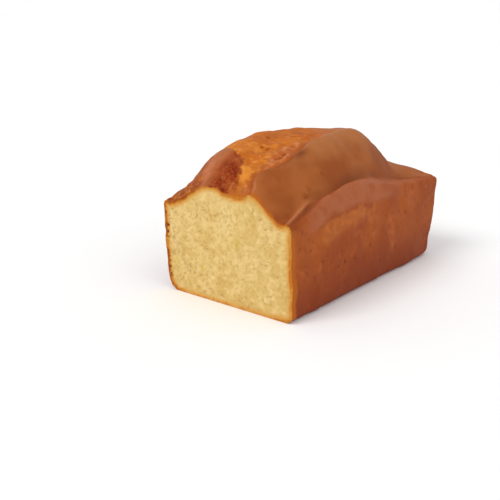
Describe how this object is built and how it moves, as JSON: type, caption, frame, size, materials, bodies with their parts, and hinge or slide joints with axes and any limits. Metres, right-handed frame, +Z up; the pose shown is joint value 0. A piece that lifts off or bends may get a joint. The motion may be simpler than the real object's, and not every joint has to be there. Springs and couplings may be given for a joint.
{
  "type": "banana bread loaf",
  "caption": "Tin-baked banana bread loaf with one end sliced off, flat cut face of yellow crumb, domed crown with a long golden crack and a folded crust edge.",
  "frame": {"origin": "middle of the flat base of the loaf's bounding box", "axes": "+Y along the loaf from the cut face to the uncut end, +Z up out of the crown, +X to the right seen from the cut face"},
  "size_m": [0.112, 0.1962, 0.1058],
  "materials": {
    "crust": "baked cake crust, reddish brown, satin, with golden crumb in the crack and pale yellow porous crumb on the cut face"
  },
  "bodies": {
    "root": {"loaf": "crust"}
  },
  "joints": []
}
